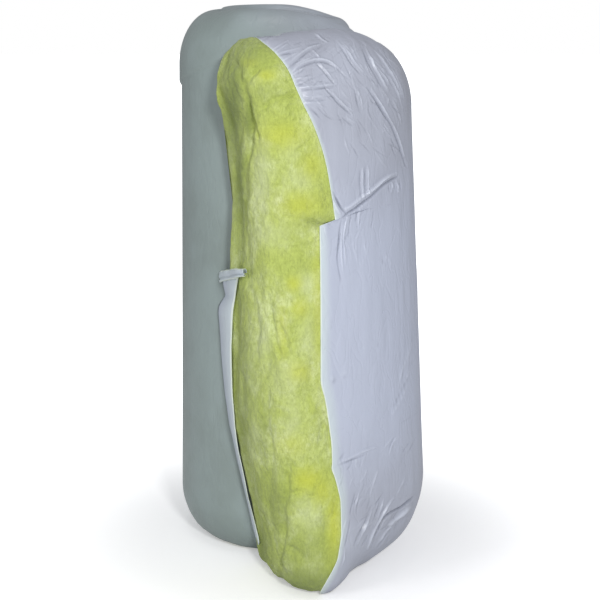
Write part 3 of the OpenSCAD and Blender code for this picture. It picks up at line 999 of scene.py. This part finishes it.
def folded_tab():
    """The strip's top end, folded over to the front against the wool."""
    last = len(TAB_PATH) - 1
    k = np.linspace(0, last, 60)
    x, y = (bend(k, np.arange(last + 1), TAB_PATH[:, i]) for i in (0, 1))
    rise = np.interp(k, [0, last], TAB_RISE)
    v = TAB_SECTION
    pts = np.zeros((60, len(v), 3))
    slim = np.interp(k, [0, 4, last], [0.92, 0.84, 0.62])[:, None]
    out = v[None, :, 0] * np.interp(k, [0, last], [1.0, 1.3])[:, None]
    pts[..., 0] = x[:, None] - TAB_OUT[0] * out + ROLL_X
    pts[..., 1] = y[:, None] - TAB_OUT[1] * out + ROLL_Y
    pts[..., 2] = TAB_Z + rise[:, None] + v[None, :, 1] * slim
    pts[..., 2] += 0.004 * (1 - slim / 0.92) + 0.001 * lumps(pts, (0.012, 0.012, 0.02), 43)
    pts[..., 0] += 0.0015 * lumps(pts, (0.012, 0.012, 0.010), 42)
    from_rim = np.minimum(np.abs(v[:, 1] - 0.028), np.abs(v[:, 1] - 0.001)) * np.ones((60, 1))
    # painted light over the tab, brighter along its two rims
    return film_piece("facing_tab", pts, fields={
        "round": np.full(pts.shape[:2], 0.0), "pale_tint_and_painted_light": np.full(pts.shape[:2], 1.0),
        "from_edge": from_rim})


strip, tab = left_strip(), folded_tab()


# Materials

def lin(r, g, b):
    """Plain screen colour, 0 to 255, as the linear value the shader takes."""
    def f(v):
        v = v / 255
        return v / 12.92 if v <= 0.04045 else ((v + 0.055) / 1.055) ** 2.4
    return (f(r), f(g), f(b), 1)


class Nodes:
    """A material's nodes, added one at a time."""

    def __init__(self, name):
        self.mat = bpy.data.materials.new(name)
        self.mat.use_nodes = True
        self.tree = self.mat.node_tree
        self.shader = self.tree.nodes["Principled BSDF"]

    def add(self, kind, **values):
        n = self.tree.nodes.new(kind)
        for k, v in values.items():
            setattr(n, k, v)
        return n

    def link(self, a, b):
        self.tree.links.new(a, b)

    def feed(self, node, values):
        """Links each numbered input to an output, or sets it to a plain value."""
        for index, value in values.items():
            if hasattr(value, "node"):
                self.link(value, node.inputs[index])
            else:
                node.inputs[index].default_value = value

    def coords(self, scale=(1, 1, 1)):
        c = self.add("ShaderNodeTexCoord")
        m = self.add("ShaderNodeMapping")
        m.inputs["Scale"].default_value = scale
        self.link(c.outputs["Object"], m.inputs["Vector"])
        return m.outputs["Vector"]

    def noise(self, scale, detail=3, rough=0.55, stretch=(1, 1, 1), warp=0.0):
        n = self.add("ShaderNodeTexNoise")
        n.inputs["Scale"].default_value = scale
        n.inputs["Detail"].default_value = detail
        n.inputs["Roughness"].default_value = rough
        n.inputs["Distortion"].default_value = warp
        self.link(self.coords(stretch), n.inputs["Vector"])
        return n.outputs["Fac"]

    def ramp(self, source, lo, hi):
        r = self.add("ShaderNodeMapRange")
        r.interpolation_type = "SMOOTHSTEP"
        r.inputs["From Min"].default_value = lo
        r.inputs["From Max"].default_value = hi
        self.link(source, r.inputs["Value"])
        return r.outputs["Result"]

    def mix(self, fac, a, b):
        m = self.add("ShaderNodeMix", data_type="RGBA")
        self.feed(m, {0: fac, 6: a, 7: b})
        return m.outputs[2]

    def math(self, how, a, b):
        m = self.add("ShaderNodeMath", operation=how)
        self.feed(m, {0: a, 1: b})
        return m.outputs[0]

    def attribute(self, name):
        a = self.add("ShaderNodeAttribute", attribute_name=name)
        return a.outputs["Fac"]

    def bump(self, height, strength, distance, under=None):
        b = self.add("ShaderNodeBump")
        b.inputs["Strength"].default_value = strength
        b.inputs["Distance"].default_value = distance
        self.link(height, b.inputs["Height"])
        if under is not None:
            self.link(under, b.inputs["Normal"])
        return b.outputs["Normal"]


# Colours of the film: lit in front and in painted shade round the roll, each with its cloudier
# tone, then its paler part in painted light, its free edge in painted light, its lip in painted
# highlight, its creases in painted shade and its ridges in painted highlight
FILM_FRONT_LIT = lin(171, 174, 186), lin(180, 184, 197)
FILM_REAR_SHADE = lin(138, 150, 147), lin(146, 159, 157)
FILM_PAINTED_LIGHT, FILM_RIM_LIGHT, FILM_LIP_HIGHLIGHT = lin(190, 196, 213), lin(217, 231, 226), lin(226, 234, 226)
FILM_CREASE_SHADE, FILM_RIDGE_HIGHLIGHT = lin(92, 98, 112), lin(226, 232, 244)
# Colours of the wool: its two tones, what is laid over them, and its soft patches, the olive
# ones painted shade
WOOL_TONES = lin(193, 207, 112), lin(222, 232, 172)
WOOL_MID, WOOL_FLECK, WOOL_GRAIN = lin(196, 210, 112), lin(150, 164, 74), lin(158, 171, 88)
WOOL_PARTS = {"pale_tint_and_painted_light": lin(214, 224, 170), "bright": lin(206, 212, 70), "olive_shade": lin(134, 148, 82)}


def vinyl():
    """White film: lilac where the light falls on it, grey-green painted shade round the roll,
    with painted light and highlights along its edges and ridges and painted shade in its creases.
    """
    m = Nodes("vinyl_film")
    # the "round" attribute mixes in the rear colour: painted shade over the roll's film
    rear = m.attribute("round")
    cloud = m.ramp(m.noise(7, 3), 0.35, 0.65)
    lit_front_colour = m.mix(cloud, *FILM_FRONT_LIT)
    # paler mix on the front, strip and tab: painted light
    lit_front_colour = m.mix(m.attribute("pale_tint_and_painted_light"), lit_front_colour, FILM_PAINTED_LIGHT)
    shaded_rear_colour = m.mix(cloud, *FILM_REAR_SHADE)
    colour = m.mix(rear, lit_front_colour, shaded_rear_colour)
    # lighter band near the film's free edge and rims: painted light
    rim = m.ramp(m.attribute("from_edge"), 0.030, 0.004)
    colour = m.mix(m.math("MULTIPLY", rim, 0.5), colour, FILM_RIM_LIGHT)
    # thin pale line on the free edge's lip: painted highlight
    lip_highlight = m.ramp(m.attribute("from_edge"), 0.0035, 0.0015)
    colour = m.mix(lip_highlight, colour, FILM_LIP_HIGHLIGHT)
    # dark creases and the strip's dark left rim: painted shade
    colour = m.mix(m.attribute("crease"), colour, FILM_CREASE_SHADE)
    # light ridges: painted highlight
    colour = m.mix(m.math("MINIMUM", m.attribute("painted_ridge_highlight"), 0.5), colour, FILM_RIDGE_HIGHLIGHT)
    m.link(colour, m.shader.inputs["Base Color"])
    m.shader.inputs["Roughness"].default_value = 0.36
    m.shader.inputs["Specular IOR Level"].default_value = 0.45
    fine = m.bump(m.noise(45, 3, 0.5, (1, 1, 0.25)), 0.3, 0.004)
    cloth = m.math("ABSOLUTE", m.math("SUBTRACT", m.noise(26, 2, 0.5, (1, 1, 0.4), 0.6), 0.5), 0)
    crumple = m.bump(m.ramp(cloth, 0.0, 0.05), 0.25, 0.0016, fine)
    m.link(crumple, m.shader.inputs["Normal"])
    return m.mat


def wool():
    """Yellow-green glass wool, mottled and fibrous."""
    m = Nodes("glass_wool")
    big = m.ramp(m.noise(13, 4, 0.6, (1, 1, 0.8), 0.5), 0.36, 0.68)
    mid = m.ramp(m.noise(48, 4, 0.7, (1, 1, 0.8), 0.3), 0.36, 0.64)
    grain = m.ramp(m.noise(230, 3, 0.7, (1, 1, 0.45)), 0.36, 0.64)
    fleck = m.ramp(m.noise(95, 4, 0.75, (1, 1, 0.7), 0.8), 0.50, 0.68)
    tone = m.mix(big, *WOOL_TONES)
    for layer, strength, colour in ((mid, 0.60, WOOL_MID), (fleck, 0.45, WOOL_FLECK),
                                    (grain, 0.40, WOOL_GRAIN)):
        tone = m.mix(m.math("MULTIPLY", layer, strength), tone, colour)
    # the olive patches are painted shade; the bright and pale ones are the wool's own tone
    for part, colour in WOOL_PARTS.items():
        tone = m.mix(m.attribute(part), tone, colour)
    m.link(tone, m.shader.inputs["Base Color"])
    m.shader.inputs["Roughness"].default_value = 0.95
    m.shader.inputs["Specular IOR Level"].default_value = 0.1
    m.shader.inputs["Sheen Weight"].default_value = 0.15
    coarse = m.bump(m.noise(65, 5, 0.7, (1, 1, 0.8)), 0.9, 0.007)
    fuzz = m.bump(m.noise(330, 3, 0.7, (1, 1, 0.5)), 0.8, 0.0018, coarse)
    m.link(fuzz, m.shader.inputs["Normal"])
    return m.mat


film_mat, wool_mat = vinyl(), wool()
for piece in (facing, facing_inner, strip, tab):
    piece.data.materials.append(film_mat)
    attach(piece, "root")
    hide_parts("vinyl_facing")
for piece in (loose_wool, roll_wool):
    piece.data.materials.append(wool_mat)
    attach(piece, "root")
    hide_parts("glass_wool_batt")


# Floor, lights, camera

def floor():
    """Pale floor that fades to white away from the blanket and keeps its shadow."""
    mesh = bpy.data.meshes.new("floor")
    mesh.from_pydata([(-9, -6, -0.001), (9, -6, -0.001), (9, 14, -0.001), (-9, 14, -0.001)],
                     [], [(0, 1, 2, 3)])
    obj = bpy.data.objects.new("floor", mesh)
    bpy.context.collection.objects.link(obj)
    m = Nodes("floor_white")
    m.shader.inputs["Base Color"].default_value = (0.85, 0.85, 0.85, 1)
    m.shader.inputs["Roughness"].default_value = 0.9
    m.shader.inputs["Specular IOR Level"].default_value = 0.0
    spot = m.add("ShaderNodeTexCoord")
    away = m.add("ShaderNodeVectorMath", operation="LENGTH")
    m.link(spot.outputs["Object"], away.inputs[0])
    far = m.ramp(away.outputs["Value"], 0.30, 1.15)
    seen = m.add("ShaderNodeLightPath").outputs["Is Camera Ray"]
    glow = m.math("MULTIPLY", seen, m.math("ADD", m.math("MULTIPLY", far, 0.9), 0.34))
    m.shader.inputs["Emission Color"].default_value = (1, 1, 1, 1)
    m.link(glow, m.shader.inputs["Emission Strength"])
    obj.data.materials.append(m.mat)
    return obj


def lamp(name, place, target, power, size):
    """A soft square light, aimed at the target."""
    data = bpy.data.lights.new(name, "AREA")
    data.energy, data.size = power, size
    obj = bpy.data.objects.new(name, data)
    obj.location = place
    obj.rotation_euler = (Vector(target) - Vector(place)).to_track_quat("-Z", "Y").to_euler()
    bpy.context.collection.objects.link(obj)
    return obj


def white_surround():
    """Grey light from all round, which the camera sees as white."""
    world = bpy.data.worlds.new("studio")
    world.use_nodes = True
    back = world.node_tree.nodes["Background"]
    path = world.node_tree.nodes.new("ShaderNodeLightPath")
    tone = world.node_tree.nodes.new("ShaderNodeMix")
    tone.data_type = "RGBA"
    tone.inputs[6].default_value = (0.36, 0.37, 0.39, 1)
    tone.inputs[7].default_value = (1, 1, 1, 1)
    world.node_tree.links.new(path.outputs["Is Camera Ray"], tone.inputs[0])
    world.node_tree.links.new(tone.outputs[2], back.inputs["Color"])
    bpy.context.scene.world = world


def add_camera():
    """The camera in whose picture the folds, edges and patches have their places."""
    data = bpy.data.cameras.new("camera")
    data.sensor_width = SENSOR
    data.lens = FOCAL * SENSOR / PICTURE
    obj = bpy.data.objects.new("camera", data)
    obj.location = CAMERA
    obj.rotation_euler = (math.pi / 2 - TILT, 0, 0)
    bpy.context.collection.objects.link(obj)
    bpy.context.scene.camera = obj


floor()
lamp("key", (0.8, -4.1, 2.3), (0, 0, 0.62), 96, 0.5)
lamp("side", (-3.2, -2.4, 1.6), (0, 0, 0.6), 26, 1.0)
lamp("above", (-0.4, -0.6, 4.4), (0, 0, 0.6), 14, 1.4)
white_surround()
add_camera()
bpy.context.scene.view_settings.view_transform = "Standard"
